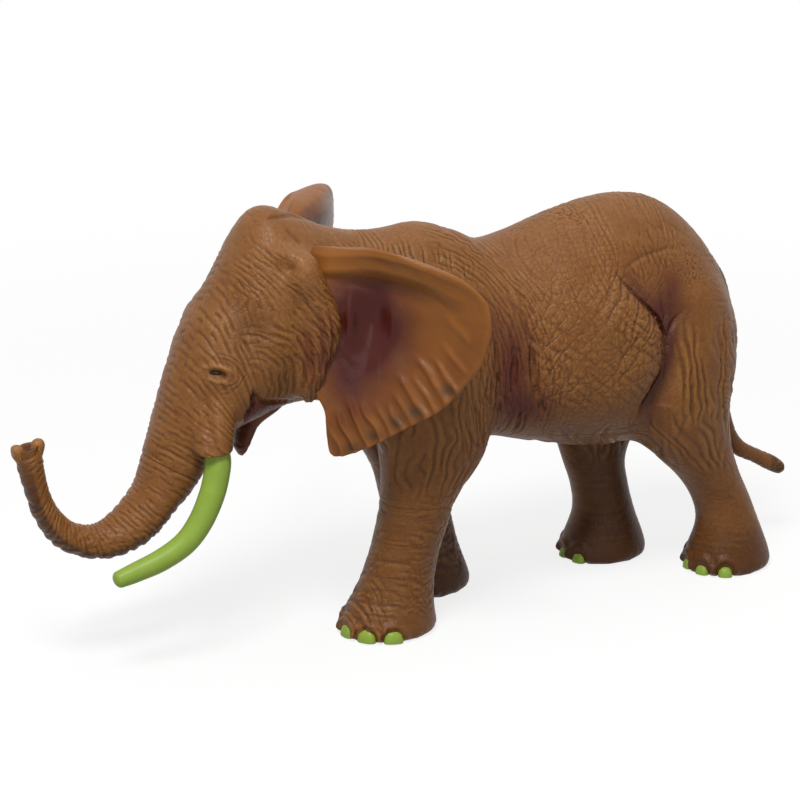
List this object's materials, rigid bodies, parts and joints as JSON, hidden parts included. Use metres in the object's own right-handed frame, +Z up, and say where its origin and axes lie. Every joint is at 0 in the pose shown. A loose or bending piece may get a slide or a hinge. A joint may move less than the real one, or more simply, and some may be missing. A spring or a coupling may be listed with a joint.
{
  "type": "toy elephant figure",
  "caption": "Moulded plastic toy elephant striding on four flat soles, trunk curled forward and up, green tusks and toenails.",
  "frame": {"origin": "on the surface that the figure stands on, under the middle of its box", "axes": "+Z up, the elephant faces -X with its tail toward +X, and its left side is toward -Y"},
  "size_m": [0.2042, 0.082, 0.1026],
  "materials": {
    "hide_pvc": "satin brown PVC with a darker wash in its wrinkles",
    "leg_pvc": "satin darker brown PVC",
    "ear_pvc": "satin golden brown PVC with a maroon hollow",
    "green_pvc": "smooth satin yellow green",
    "eye_enamel": "glossy dark enamel"
  },
  "bodies": {
    "root": {"torso": "hide_pvc", "head": "hide_pvc", "lower_jaw": "hide_pvc", "left_ear": "ear_pvc", "right_ear": "ear_pvc", "left_tusk": "green_pvc", "right_tusk": "green_pvc", "left_eye": "eye_enamel", "right_eye": "eye_enamel", "tail": "leg_pvc", "left_foreleg": "leg_pvc", "right_foreleg": "leg_pvc", "left_hind_leg": "leg_pvc", "right_hind_leg": "leg_pvc", "left_foreleg_nail_1": "green_pvc", "left_foreleg_nail_2": "green_pvc", "left_foreleg_nail_3": "green_pvc", "left_foreleg_nail_4": "green_pvc", "left_foreleg_nail_5": "green_pvc", "right_foreleg_nail_1": "green_pvc", "right_foreleg_nail_2": "green_pvc", "right_foreleg_nail_3": "green_pvc", "right_foreleg_nail_4": "green_pvc", "right_foreleg_nail_5": "green_pvc", "left_hind_leg_nail_1": "green_pvc", "left_hind_leg_nail_2": "green_pvc", "left_hind_leg_nail_3": "green_pvc", "left_hind_leg_nail_4": "green_pvc", "right_hind_leg_nail_1": "green_pvc", "right_hind_leg_nail_2": "green_pvc", "right_hind_leg_nail_3": "green_pvc", "right_hind_leg_nail_4": "green_pvc"}
  },
  "joints": []
}
